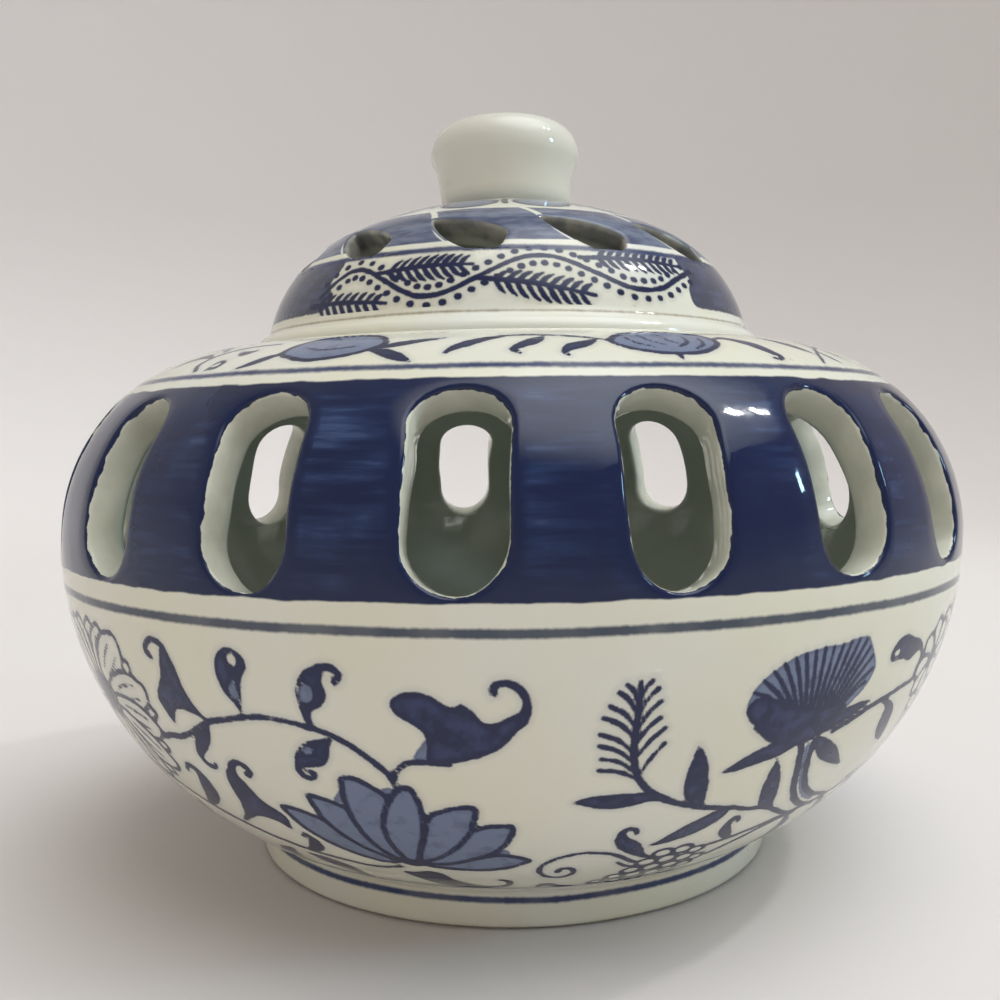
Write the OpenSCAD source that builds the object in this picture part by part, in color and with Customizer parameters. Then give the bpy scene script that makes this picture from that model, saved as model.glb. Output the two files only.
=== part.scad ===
// Potpourri vase: a squat round porcelain pot with a pierced shoulder, and a domed, vented lid
// that drops into a gallery at the mouth and carries a bun-shaped knob.
// Millimetres, +Z up. The origin is the centre of the foot ring, on the table. -Y is the front.

/* [Pot] */
// Radius of the pot at its widest ring
body_r = 64; // [60:0.5:72]
// Height of the widest ring above the table
equator_z = 46.4; // [45:0.2:49]
// Radius of the belly's arc, below the widest ring
belly_arc_r = 46.3; // [46:0.1:49]
// Radius of the shoulder's arc, above the widest ring
shoulder_arc_r = 25.5; // [24:0.1:25.8]
// Thickness of the cast wall
pot_wall = 4.7; // [3.5:0.1:5.5]
// Thickness of the floor, from the recess under it to the inside
floor_t = 5.4; // [4:0.2:7]
// Radius of the inside corner between the floor and the wall
floor_round = 9; // [6:0.5:12]

/* [Foot] */
// Outer radius of the foot ring
foot_r = 38.2; // [36:0.2:41]
// Width of the foot ring
foot_w = 4.4; // [3.5:0.1:6]
// Depth of the recess inside the foot ring
foot_recess = 3.3; // [1.5:0.1:4]
// Rounding of the foot ring's two lower edges
foot_round = 1; // [0.4:0.1:1.4]
// Fillet between the foot and the belly
foot_fillet = 1.6; // [0.8:0.1:3]

/* [Mouth] */
// Depth of the gallery that the lid's rim drops into
gallery_depth = 2; // [1.2:0.1:3.4]
// Gap all round between the lid's rim and the gallery wall
gallery_clear = 0.7; // [0.4:0.1:1]
// Radius of the mouth, inside the gallery's ledge
mouth_r = 31.5; // [28:0.5:32.5]
// Thickness of the gallery's ledge, whose inner edge is fully rounded
ledge_t = 4; // [3:0.1:5]
// Rounding of the gallery's upper edge
lip_round = 0.8; // [0.4:0.1:1.2]

/* [Shoulder slots] */
// Number of slots round the shoulder
slot_n = 18; // [14:1:19]
// Width of a slot
slot_w = 10.3; // [7:0.1:11]
// Length of a slot along the shoulder's curve
slot_len = 21.8; // [16:0.2:24]
// Angle of a slot's middle above level, seen from the centre of the shoulder's arc
slot_tilt = 20.4; // [16:0.2:24]
// Turn of the ring of slots from the front, towards the right
slot_turn = -8; // [-10:0.1:10]
// How far the hand-marked slots at the front and the back stray from even spacing, in degrees
slot_sway = 3.3; // [0:0.1:4]

/* [Lid] */
// Outer radius of the rolled rim
lid_rim_r = 37.4; // [37:0.1:37.7]
// Height of the rolled rim
lid_roll_h = 4.1; // [3.4:0.1:4.6]
// Radius where the dome's side would stand upright
lid_side_r = 35.8; // [35.5:0.1:36.2]
// Height of the dome's crown above the rim's underside, before the knob's seat is cut
lid_h = 24.2; // [22:0.2:26]
// Radius of the crown's arc
crown_arc_r = 56; // [52:0.5:62]
// Radius of the arc that turns the crown down into the side
side_arc_r = 20; // [18:0.1:21]
// Thickness of the lid
lid_wall = 4; // [3:0.1:4.6]
// Rounding of the rim's inner lower edge
lid_edge_round = 0.8; // [0.4:0.1:1.2]

/* [Lid vents] */
// Number of vents round the lid
vent_n = 12; // [8:1:13]
// Length of a vent from its point to its blunt end
vent_len = 11.4; // [8:0.2:12]
// Radius of a vent's blunt end
vent_end_r = 3.2; // [2.8:0.1:4]
// Distance from a vent's point to where the curves of its two sides would meet again
vent_chord = 15; // [13:0.2:16]
// Radius of the curve of a vent's lower side
vent_low_r = 10.6; // [10:0.1:14]
// Radius of the curve of a vent's upper side
vent_top_r = 15.8; // [12:0.1:20]
// Slope of a vent, from its point down to its blunt end
vent_slope = 30; // [20:1:40]
// Angle of a vent's middle from upright, seen from the centre of the side's arc
vent_tilt = 40.5; // [38:0.5:46]
// Turn of the first vent from the front, towards the right
vent_turn = -9.8; // [-15:0.1:15]

/* [Knob] */
// Radius of the knob's base, which is the radius of its seat on the lid
knob_base_r = 9.6; // [8:0.1:10.4]
// Largest radius of the knob
knob_r = 11.1; // [10.5:0.1:13]
// Height of the knob's shoulder above its base
knob_h = 12.8; // [11:0.1:15]
// Rounding of the knob's shoulder
knob_round = 4.6; // [3:0.1:6]
// Height of the low button in the middle of the knob's top
button_h = 1.2; // [0.6:0.1:1.6]
// Radius of the curve of that button
button_arc_r = 9; // [6:0.5:14]

/* [Hidden] */
$fn = 144;
// Overshoot that carries a cut clear of the surfaces that it opens
past = 4;
// Overlap that lets a rounding cross its neighbour instead of only touching it
cross = 0.02;

// Centres of the belly's and the shoulder's arcs, as [radius, height]
belly_c = [body_r - belly_arc_r, equator_z];
shoulder_c = [body_r - shoulder_arc_r, equator_z];
crest_z = equator_z + shoulder_arc_r;
floor_z = foot_recess + floor_t;

// Gallery and its ledge
gallery_r = lid_rim_r + gallery_clear;
ledge_z = crest_z - gallery_depth;
ceiling_z = ledge_z - ledge_t;

// Centre of the inside corner at the floor, and the point where it meets the belly's inner arc
belly_inner_r = belly_arc_r - pot_wall;
floor_corner_z = floor_z + floor_round;
floor_corner = [belly_c[0] + sqrt(max(0, pow(belly_inner_r - floor_round, 2)
                                      - pow(equator_z - floor_corner_z, 2))),
                floor_corner_z];
floor_tangent = along(belly_c, floor_corner, belly_inner_r);

// Centre of the fillet between foot and belly, and a point inside the belly next to it
fillet_c = [foot_r + foot_fillet,
            equator_z - sqrt(pow(belly_arc_r + foot_fillet - cross, 2)
                             - pow(foot_r + foot_fillet - belly_c[0], 2))];
fillet_inside = along(belly_c, fillet_c, belly_arc_r - 1);

// Centre of the rounding of the gallery's upper edge
lip_c = [gallery_r + lip_round,
         equator_z + cross + sqrt(pow(shoulder_arc_r - lip_round, 2)
                                  - pow(max(0, gallery_r + lip_round - shoulder_c[0]), 2))];

// Half the angle, on the shoulder's arc, between the centres of a slot's two round ends
slot_half = (slot_len - slot_w) / 2 / shoulder_arc_r * 180 / PI;

// Centres of the lid's arcs above the rim's underside, and the angle at which crown and side join
crown_c = [0, lid_h - crown_arc_r];
side_c = [lid_side_r - side_arc_r,
          crown_c[1] + sqrt(pow(crown_arc_r - side_arc_r, 2) - pow(lid_side_r - side_arc_r, 2))];
crown_join = asin(side_c[0] / (crown_arc_r - side_arc_r));
roll_r = lid_roll_h / 2;
roll_c = [lid_rim_r - roll_r, roll_r];
// Inner radius of the rim before the hollow trims it, a little inside the hollow
lid_inner_r = side_c[0] + side_arc_r - lid_wall - 0.1;
knob_seat_z = crown_c[1] + sqrt(pow(crown_arc_r, 2) - pow(knob_base_r, 2));

// A vent lies along X, its point at the origin: centres of its lower and upper sides and blunt end
vent_low_c = [vent_chord / 2, sqrt(pow(vent_low_r, 2) - pow(vent_chord / 2, 2))];
vent_top_c = [vent_chord / 2, -sqrt(pow(vent_top_r, 2) - pow(vent_chord / 2, 2))];
vent_end_c = [vent_len - vent_end_r, (vent_low_c[1] - vent_low_r + vent_top_c[1] + vent_top_r) / 2];

// Knob's rounded shoulder, and the point where its flared side meets that rounding
knob_round_c = [knob_r - knob_round, knob_h - knob_round];
knob_reach = norm(knob_round_c - [knob_base_r, 0]);
knob_flare = atan2(knob_round_c[1], knob_round_c[0] - knob_base_r) - asin(knob_round / knob_reach);
knob_tangent = [knob_base_r, 0]
               + sqrt(pow(knob_reach, 2) - pow(knob_round, 2)) * [cos(knob_flare), sin(knob_flare)];

// The point at a distance from one centre, in the direction of another
function along(from, to, distance) = from + distance * (to - from) / norm(to - from);

// A level slab of the half plane, from the axis out to a radius
module slab(r, z0, z1) {
    translate([0, z0]) square([r, z1 - z0]);
}

module disc(c, r) {
    translate(c) circle(r);
}

// The stretch of a body from the level of c up by h, or down if h is negative, inside one arc about c
module arc_band(c, r, h) {
    translate([0, c[1]]) mirror([0, h < 0 ? 1 : 0]) intersection() {
        slab(c[0] + r, 0, abs(h));
        union() {
            disc([c[0], 0], r);
            slab(c[0], 0, abs(h));
        }
    }
}

// Ring section between two radii and two heights, with the named lower edges rounded
module rounded_ring(r0, r1, z1, size, edges) {
    translate([r0, size]) square([r1 - r0, z1 - size]);
    square_r0 = r0 + (edges[0] ? size : 0);
    square_r1 = r1 - (edges[1] ? size : 0);
    translate([square_r0, 0]) square([square_r1 - square_r0, size]);
    if (edges[0]) disc([r0 + size, size], size);
    if (edges[1]) disc([r1 - size, size], size);
}

// Outside of the pot, from the foot ring and the floor over its recess to the crest of the shoulder
module pot_outside() {
    arc_band(belly_c, belly_arc_r, fillet_c[1] - equator_z);
    arc_band(shoulder_c, shoulder_arc_r, shoulder_arc_r);
    slab(foot_r, foot_recess, fillet_inside[1]);
    rounded_ring(foot_r - foot_w, foot_r, fillet_c[1], foot_round, [true, true]);
    difference() {
        polygon([[foot_r - foot_w, fillet_c[1]], fillet_c, fillet_inside,
                 [foot_r - foot_w, fillet_inside[1]]]);
        disc(fillet_c, foot_fillet);
    }
}

// Hollow of the pot, up to the underside of the ledge
module pot_hollow() {
    arc_band(belly_c, belly_inner_r, floor_tangent[1] - equator_z);
    disc(floor_corner, floor_round);
    slab(floor_corner[0], floor_z, floor_corner_z);
    arc_band(shoulder_c, shoulder_arc_r - pot_wall, ceiling_z - equator_z);
}

// Mouth with a rounded inner edge, and the gallery over it
module mouth_cut() {
    ledge_round = ledge_t / 2;
    slab(gallery_r, ledge_z, crest_z + past);
    difference() {
        slab(mouth_r + ledge_round, ceiling_z - past, ledge_z + past);
        disc([mouth_r + ledge_round, ledge_z - ledge_round], ledge_round);
    }
    difference() {
        translate([gallery_r - past, lip_c[1]]) square([lip_c[0] - gallery_r + past, past]);
        disc(lip_c, lip_round);
    }
}

// Round-ended slot cut square to the shoulder, in the plane y = 0
module slot_cut() {
    from = (shoulder_arc_r - pot_wall) / 2;
    to = shoulder_arc_r + past;
    low = slot_tilt - slot_half;
    high = slot_tilt + slot_half;
    translate([shoulder_c[0], 0, equator_z]) {
        for (a = [low, high])
            rotate([0, 90 - a, 0]) translate([0, 0, from]) cylinder(r = slot_w / 2, h = to - from);
        rotate([90, 0, 0]) linear_extrude(slot_w - cross, center = true)
            polygon([for (p = [[from, low], [to, low], [to, high], [from, high]])
                     p[0] * [cos(p[1]), sin(p[1])]]);
    }
}

// Leaf outline of a vent, along X from its point to its blunt end
module vent_outline() {
    intersection() {
        disc(vent_low_c, vent_low_r);
        disc(vent_top_c, vent_top_r);
        union() {
            disc(vent_end_c, vent_end_r);
            translate([-past, -vent_len / 2]) square([vent_end_c[0] + past, vent_len]);
        }
    }
}

// Vent cut square to the side of the dome, in the plane y = 0
module vent_cut() {
    translate([side_c[0], 0, side_c[1]]) rotate([0, vent_tilt, 0])
        translate([0, 0, (side_arc_r - lid_wall) / 2]) linear_extrude(side_arc_r)
            rotate(90 - vent_slope) translate([-vent_len / 2, 0]) vent_outline();
}

// Domed section of the lid above a height, as much thinner all round as the inset
module dome(inset, z0) {
    far = 2 * crown_arc_r;
    join_line = crown_c + far * [sin(crown_join), cos(crown_join)];
    intersection() {
        slab(far, z0, lid_h);
        union() {
            intersection() {
                disc(crown_c, crown_arc_r - inset);
                polygon([crown_c, join_line, crown_c + [0, far]]);
            }
            intersection() {
                disc(side_c, side_arc_r - inset);
                polygon([crown_c, crown_c + [far, 0], join_line]);
            }
        }
    }
}

// Section of the lid: dome, rolled rim and flat seat for the knob
module lid_section() {
    difference() {
        union() {
            dome(0, roll_r);
            rounded_ring(lid_inner_r, roll_c[0], roll_r, lid_edge_round, [true, false]);
            disc(roll_c, roll_r);
        }
        dome(lid_wall, -past);
        translate([0, knob_seat_z]) square([knob_base_r + past, lid_h]);
    }
}

// A turned piece with a cut repeated round it. The turn starts midway between two of the cuts.
module pierced(first, n, sway = 0) {
    difference() {
        rotate(first + 180 / n) children(0);
        for (k = [0 : n - 1])
            rotate(first + k * 360 / n + sway * cos(k * 360 / n)) children(1);
    }
}

module pot() {
    color("lavender") pierced(slot_turn - 90, slot_n, slot_sway) {
        rotate_extrude() difference() {
            pot_outside();
            pot_hollow();
            mouth_cut();
        }
        slot_cut();
    }
}

module lid() {
    color("lightsteelblue") translate([0, 0, ledge_z]) pierced(vent_turn - 90, vent_n) {
        rotate_extrude() lid_section();
        vent_cut();
    }
}

module lid_knob() {
    button_c = [0, knob_h + button_h - button_arc_r];
    color("aliceblue") translate([0, 0, ledge_z + knob_seat_z]) rotate_extrude() {
        polygon([[0, 0], [knob_base_r, 0], knob_tangent, knob_round_c, [knob_round_c[0], knob_h], [0, knob_h]]);
        intersection() {
            slab(knob_r, knob_round_c[1] - knob_round, knob_h);
            disc(knob_round_c, knob_round);
        }
        intersection() {
            slab(knob_r, knob_h, knob_h + button_h);
            disc(button_c, button_arc_r);
        }
    }
}

pot();
lid();
lid_knob();
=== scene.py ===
import math

import bmesh
import bpy
import numpy as np
from mathutils import Matrix, Vector


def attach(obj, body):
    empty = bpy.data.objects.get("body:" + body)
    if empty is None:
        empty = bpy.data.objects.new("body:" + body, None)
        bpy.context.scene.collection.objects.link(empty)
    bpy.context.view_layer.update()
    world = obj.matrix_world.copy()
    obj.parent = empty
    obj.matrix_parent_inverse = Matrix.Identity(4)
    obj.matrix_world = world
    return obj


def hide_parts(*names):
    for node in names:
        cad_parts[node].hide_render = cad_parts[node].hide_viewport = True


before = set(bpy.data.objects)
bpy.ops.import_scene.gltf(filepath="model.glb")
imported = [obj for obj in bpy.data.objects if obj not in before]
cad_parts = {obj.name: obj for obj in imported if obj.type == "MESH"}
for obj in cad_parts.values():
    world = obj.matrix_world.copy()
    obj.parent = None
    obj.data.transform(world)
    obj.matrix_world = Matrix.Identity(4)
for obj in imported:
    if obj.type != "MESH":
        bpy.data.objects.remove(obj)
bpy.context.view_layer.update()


# Pot: one slip-cast porcelain vessel, belly, shoulder and foot ring in one fired wall. Eighteen
# round-ended slots were cut through the shoulder in the soft clay, and their edges drew round under
# the glaze. A gallery inside the mouth takes the lid.
MM = 0.001
BODY_R, EQUATOR_Z = 64.0, 46.4
BELLY_ARC, SHOULDER_ARC = 46.3, 25.5
POT_WALL, POT_FLOOR_Z = 4.7, 8.7
SLOTS, SLOT_TURN, SLOT_SWAY = 18, -8.0, 3.3
SLOT_W, SLOT_LEN = 10.3, 21.8
SLOT_MID = SHOULDER_ARC * math.radians(20.4)
SLOT_FIELD = (-4.0, 22.6)
CUT_ROUND = 0.7
BARE_FOOT_R, BARE_FOOT_Z = 36.6, 3.8
MERGE, SKIN = 0.005, 0.05
hand = np.random.default_rng(18)


def pot_wall(s, depth=0.0):
    """Radius and height at a distance s up the outside from the widest ring, and a depth into the wall."""
    arc = np.where(np.asarray(s) >= 0, SHOULDER_ARC, BELLY_ARC)
    return BODY_R - arc + (arc - depth) * np.cos(s / arc), EQUATOR_Z + (arc - depth) * np.sin(s / arc)


def run(wall, start, end, steps, depth=0.0):
    """Points of a wall's profile between two distances along it."""
    return [tuple(float(v) for v in wall(s, depth)) for s in np.linspace(start, end, steps + 1)]


def bow(centre, radius, start, end, steps):
    """Points of an arc of a profile, between two angles from the outward level."""
    return [(centre[0] + radius * math.cos(a), centre[1] + radius * math.sin(a))
            for a in np.radians(np.linspace(start, end, steps + 1))]


def on_wheel(az, r, z):
    """Place on the piece of a point at an azimuth from the front, a radius and a height."""
    return r * MM * np.sin(np.radians(az)), -r * MM * np.cos(np.radians(az)), z * MM


def turned(bm, profile, start_az, steps):
    """Turn a profile of radii and heights once round the axis."""
    verts = [bm.verts.new(on_wheel(start_az, r, z)) for r, z in profile]
    edges = [bm.edges.new(ends) for ends in zip(verts, verts[1:])]
    bmesh.ops.spin(bm, geom=verts + edges, cent=(0, 0, 0), axis=(0, 0, 1),
                   angle=math.tau, steps=steps, use_merge=True)


def even(points, count):
    """Points at even steps along a closed outline."""
    closed = np.vstack([points, points[:1]])
    length = np.concatenate([[0], np.cumsum(np.hypot(*np.diff(closed, axis=0).T))])
    at = np.linspace(0, length[-1], count, endpoint=False)
    return np.column_stack([np.interp(at, length, closed[:, i]) for i in (0, 1)])


def pierced(bm, holes, turn, field, columns, rows, outline, wall, thickness, middle, radial, arc, slip,
            sway=0.0):
    """Lay a sheet round each hole: in from the edges of its field, round the cut edge, through the
    wall and out over the inside. radial is the half length over which the cut follows the arc. sway is
    how far the front and back cuts stray from even spacing."""
    half = 180 / holes
    across, up = np.linspace(-half, half, columns + 1), np.linspace(*field, rows + 1)
    edge = np.array([(a, field[0]) for a in across[columns // 2:]] + [(half, s) for s in up[1:]]
                    + [(a, field[1]) for a in across[-2::-1]] + [(-half, s) for s in up[-2::-1]]
                    + [(a, field[0]) for a in across[1:columns // 2]])
    count = len(edge)
    cut = even(outline, count)
    along = np.roll(cut, -1, 0) - np.roll(cut, 1, 0)
    outward = np.column_stack([along[:, 1], -along[:, 0]]) / np.hypot(*along.T)[:, None]
    lip = [(CUT_ROUND * (1 - math.sin(q)), CUT_ROUND * (1 - math.cos(q)))
           for q in np.radians([0, 30, 60, 90])]
    rings = [(b, CUT_ROUND, 0.0) for b in (0, 0.4, 0.75)] + [(1, grow, depth) for grow, depth in lip]
    rings += [(1, 0, thickness / 2)] + [(1, grow, thickness - depth) for grow, depth in lip[::-1]]
    rings += [(b, CUT_ROUND, thickness) for b in (0.5, 0)]
    turn_of = np.linspace(0, math.tau, count, endpoint=False)
    for hole in range(holes):
        drift, skew = (sum(slip / k * np.sin(k * turn_of + hand.uniform(0, math.tau)) for k in waves)
                       for waves in ((2, 3, 5, 7), (1, 2, 3, 5)))
        last = len(rings) - 1
        sheet = bmesh.ops.create_grid(bm, x_segments=count, y_segments=last, size=1.0)["verts"]
        places = []
        for blend, grow, depth in rings:
            t, s = (cut + outward * (grow + drift + skew * depth / thickness)[:, None]).T
            end = np.clip(np.abs(s - middle) - radial, 0, None)
            s = s + np.sign(s - middle) * end * depth / (arc - depth)
            az = np.degrees(np.arcsin(t / wall(s, depth)[0])) + sway * math.cos(math.tau * hole / holes)
            az, s = edge.T + (np.array([az, s]) - edge.T) * blend
            places.append(np.column_stack(on_wheel(az + turn + hole * 2 * half, *wall(s, depth))))
        for v in sheet:
            k, ring = round((v.co.x + 1) / 2 * count) % count, round((v.co.y + 1) / 2 * last)
            v.co = places[ring][k]


def fired(name, bm, inwards=False):
    """Join the seams of a piece, turn its faces outwards, or inwards, and make it an object."""
    bmesh.ops.remove_doubles(bm, verts=bm.verts, dist=MERGE * MM)
    bmesh.ops.recalc_face_normals(bm, faces=bm.faces)
    if inwards:
        bmesh.ops.reverse_faces(bm, faces=bm.faces)
    for face in bm.faces:
        face.smooth = True
    mesh = bpy.data.meshes.new(name)
    bm.to_mesh(mesh)
    bm.free()
    piece = bpy.data.objects.new(name, mesh)
    bpy.context.collection.objects.link(piece)
    return piece


# Painting of the pot: cobalt brushed on by hand under the clear glaze, a flowering vine that repeats
# three times round the belly and fruit with leaves round the shoulder. Each mark is a brush path of
# (degrees round, millimetres up the wall, half width), or the outline of a filled form.
REPEAT = 120.0
PATH_STEP = 0.5
OUTLINE = {"petal": 0.37, "pale": 0.32}


def drawn(points, closed=False):
    """A smooth path through the points that the painter aimed at, in steps of about half a millimetre."""
    p = np.array(points, float)
    before, after = (p[-1:], p[:2]) if closed else (2 * p[:1] - p[1:2], 2 * p[-1:] - p[-2:-1])
    q = np.vstack([before, p, after])
    path = []
    for a, b, c, d in zip(q, q[1:], q[2:], q[3:]):
        steps = max(2, math.ceil(math.hypot(*(c - b)[:2]) / PATH_STEP))
        t = np.linspace(0, 1, steps, endpoint=False)[:, None]
        path.append(b + (c - a) * t / 2 + (2 * a - 5 * b + 4 * c - d) * t ** 2 / 2
                    + (3 * b - a - 3 * c + d) * t ** 3 / 2)
    return np.vstack(path + [p[:1] if closed else p[-1:]])


def line(*points):
    return "line", drawn(points)


def form(kind, *points):
    """A closed form: ink, a tint, an outlined petal with tint in it, a pale petal, or a lifted spot."""
    return kind, drawn(points, closed=True)


BLOOM_DEGREE = 1.06


def bloom(centre, heart, petals):
    """An open flower seen from the front. Each petal is (angle, length, half width), the hindmost first."""
    def at(angle, out, aside):
        x = out * math.cos(angle) - aside * math.sin(angle)
        y = out * math.sin(angle) + aside * math.cos(angle)
        return centre[0] + x / BLOOM_DEGREE, centre[1] + y
    marks = []
    for degrees, length, half in petals:
        a = math.radians(degrees)
        sides = [(0.94, 0.5), (0.76, 0.95), (0.52, 0.9), (0.26, 0.45)]
        left, right = ([at(a, u * length, side * v * half) for u, v in sides] for side in (1, -1))
        marks.append(form("pale", at(a, length, 0.12 * half), *left, *right[::-1]))
        for v in (-0.32, 0.34) if half > 2 else ():
            tip = at(a, (0.84 - 0.12 * abs(v)) * length, v * half)
            marks.append(line((*at(a, 0.42 * length, 0.6 * v * half), 0.16),
                              (*at(a, 0.6 * length, v * half), 0.24), (*tip, 0.18)))
    marks.append(form("ink", *(at(math.tau * i / 8, heart, 0) for i in range(8))))
    return marks


vine = [
    line((-43.2, -21.4, .4), (-40, -20.5, .45), (-37.6, -20.1, .4), (-35, -18.9, .38), (-32, -17.1, .42),
         (-29, -16.3, .38), (-26, -15.6, .38), (-23.5, -15.4, .33), (-20, -15.9, .38), (-17.6, -16.6, .38),
         (-15.4, -17.9, .4), (-13.4, -19.8, .4), (-12.1, -21.5, .4), (-11.7, -23.2, .3)),
    form("ink", (-36.2, -8.6), (-35.2, -9.4), (-34.6, -11), (-34.2, -13), (-33.4, -15), (-32.3, -16.8),
         (-33.6, -16.5), (-35.2, -16.1), (-36.6, -16.5), (-37.4, -17.6), (-37.8, -18.6), (-38.6, -17.1),
         (-39.2, -15.4), (-38.6, -14.1), (-37.5, -12.4), (-36.9, -10.6)),
    line((-35.6, -9.6, .5), (-36.2, -8.5, .45), (-37.4, -8.1, .42), (-38.6, -8.7, .42), (-38.9, -9.7, .42),
         (-38.2, -10.2, .4)),
    form("ink", (-26.8, -7.8), (-25.4, -8.5), (-25.1, -9.8), (-25.9, -11.3), (-26.3, -12.8), (-26.6, -14.4),
         (-26.8, -15.6), (-27.3, -14.4), (-28.2, -13.4), (-28.8, -12), (-29, -10.4), (-28.6, -8.9),
         (-27.8, -8)),
    form("lift", (-26.8, -8.3), (-26.1, -8.9), (-26.5, -9.9), (-27.2, -9.2)),
    form("lift", (-26.9, -11.4), (-26.8, -12.8), (-27.1, -13.9), (-27.8, -12.6)),
    form("tint", (-26.9, -11.2), (-26.7, -12.8), (-27, -14.2), (-28, -12.6)),
    form("ink", (-19.5, -15.9), (-20, -13.6), (-20, -11.6), (-19.3, -10), (-18, -9.1), (-17, -9.6),
         (-17.2, -10.6), (-16.9, -12), (-17.5, -13.3), (-18.8, -14.2), (-18.9, -15.9)),
    form("lift", (-19.5, -13.2), (-19.6, -11.9), (-18.9, -11), (-18.3, -11.6), (-18.5, -12.8)),
    form("tint", (-19.7, -13.4), (-19.8, -11.8), (-18.9, -10.8), (-18.1, -11.6), (-18.3, -13)),
    line((-18, -9.6, .5), (-17, -9.1, .45), (-16, -9.2, .4), (-15.4, -9.9, .4), (-15.9, -10.6, .45)),
    form("ink", (-17.2, -17.2), (-18.7, -17.3), (-20.1, -17.9), (-21.4, -19), (-22.1, -20.4),
         (-21.8, -21.5), (-20.6, -21.2), (-19, -20.9), (-18.1, -19.8), (-17.7, -18.4)),
    form("lift", (-20.8, -19.6), (-20.5, -18.7), (-19.5, -18.5), (-19.7, -19.3)),
    form("tint", (-21, -19.8), (-20.6, -18.5), (-19.3, -18.3), (-19.5, -19.6)),
    line((-21.7, -20.8, .5), (-22, -21.9, .42), (-21.5, -22.8, .4), (-20.6, -22.7, .4), (-20.3, -22, .42),
         (-20.8, -21.9, .3)),
    line((-32.2, -17.4, .3), (-33.2, -18.9, .75), (-34.4, -20.3, .95), (-35.4, -21.5, .75),
         (-35.9, -22.6, .45), (-35.4, -23.7, .4), (-34.4, -23.8, .4), (-33.9, -23.3, .35)),
    form("ink", (-31, -23), (-32.4, -23.6), (-33.3, -25.2), (-33.7, -27.4), (-34, -29.6), (-35, -31.7),
         (-36.6, -33.4), (-37.8, -34.8), (-36.6, -34.2), (-34.6, -32.9), (-32.6, -31.9), (-30.8, -31.7),
         (-29.2, -32.2), (-28.2, -33.3), (-27.6, -32), (-27.3, -30.6), (-28.3, -29.3), (-29.7, -27.9),
         (-30.3, -26), (-31, -24.4)),
    line((-31.9, -24, .6), (-31.2, -22.8, .5), (-30.2, -22.2, .45), (-29.3, -22.6, .45),
         (-28.9, -23.4, .45), (-29.5, -24, .5)),
    line((-41, -25.9, .3), (-40.2, -25, .42), (-39, -25.2, .6), (-38.5, -26.8, .95), (-39, -28.6, 1.35),
         (-40, -30.2, 1.2), (-41.4, -31.6, .8), (-43.2, -32.8, .4)),
    line((-27, -34.4, .35), (-26.4, -33.7, .4), (-25.8, -34.6, .5), (-26, -36, .95), (-26.8, -37.2, .9),
         (-28.2, -38.2, .5)),
    line((-48, -30.4, .3), (-44, -32.4, .4), (-40, -34.1, .45), (-36, -35.8, .45), (-32, -37.3, .45),
         (-28, -38.6, .42), (-24, -39.5, .38), (-20.5, -40.2, .36), (-17.5, -40, .36), (-15, -39.2, .4)),
]
lotus = [form("petal", *points) for points in (
    [(-26.8, -28.5), (-25, -28.5), (-23.2, -29.1), (-21.5, -30.2), (-19.5, -33.5), (-15, -37.4),
     (-17, -38.1), (-19.6, -37.2), (-22, -35.8), (-24.1, -34), (-25.6, -32), (-26.4, -30.2)],
    [(-22.2, -25.7), (-20.6, -25.9), (-18.6, -26.7), (-17.4, -28), (-17.2, -32), (-15, -37), (-16.4, -36.4),
     (-18.7, -34.5), (-20.5, -32.2), (-21.7, -29.8), (-22.1, -27.6)],
    [(-17.3, -22.4), (-15.9, -22.3), (-14.2, -23.4), (-12.8, -25.3), (-13.4, -30), (-13.6, -37),
     (-15.6, -35.8), (-17, -33), (-17.7, -30), (-17.9, -27), (-17.7, -24)],
    [(1.9, -36.2), (.6, -35.3), (-1, -34.8), (-2.8, -35), (-5, -35.9), (-8, -37.2), (-11.5, -37.9),
     (-9, -38.6), (-6, -38.9), (-3, -38.7), (-.6, -38), (1, -37)],
    [(-.1, -28.9), (-1.8, -28.8), (-3.4, -29.1), (-4.8, -30.2), (-6.2, -32.6), (-8.4, -35), (-11.5, -37.3),
     (-9.6, -37.6), (-7.2, -37), (-4.7, -35.7), (-2.4, -34.2), (-1, -32.5), (-.3, -30.6)],
    [(-3.9, -25.9), (-5.6, -25.8), (-7.3, -26.4), (-9, -27.6), (-10, -31), (-11.8, -36.8), (-10, -36.4),
     (-8, -34.8), (-6.2, -32.6), (-4.8, -30.2), (-4.2, -28)],
    [(-10.4, -23), (-11.7, -23.6), (-12.9, -25.4), (-14, -28), (-14.6, -31), (-14.3, -34), (-13.4, -37.2),
     (-12, -36.8), (-10.9, -33.5), (-10, -30.5), (-9.6, -27.5), (-9.7, -25)])]
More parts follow.
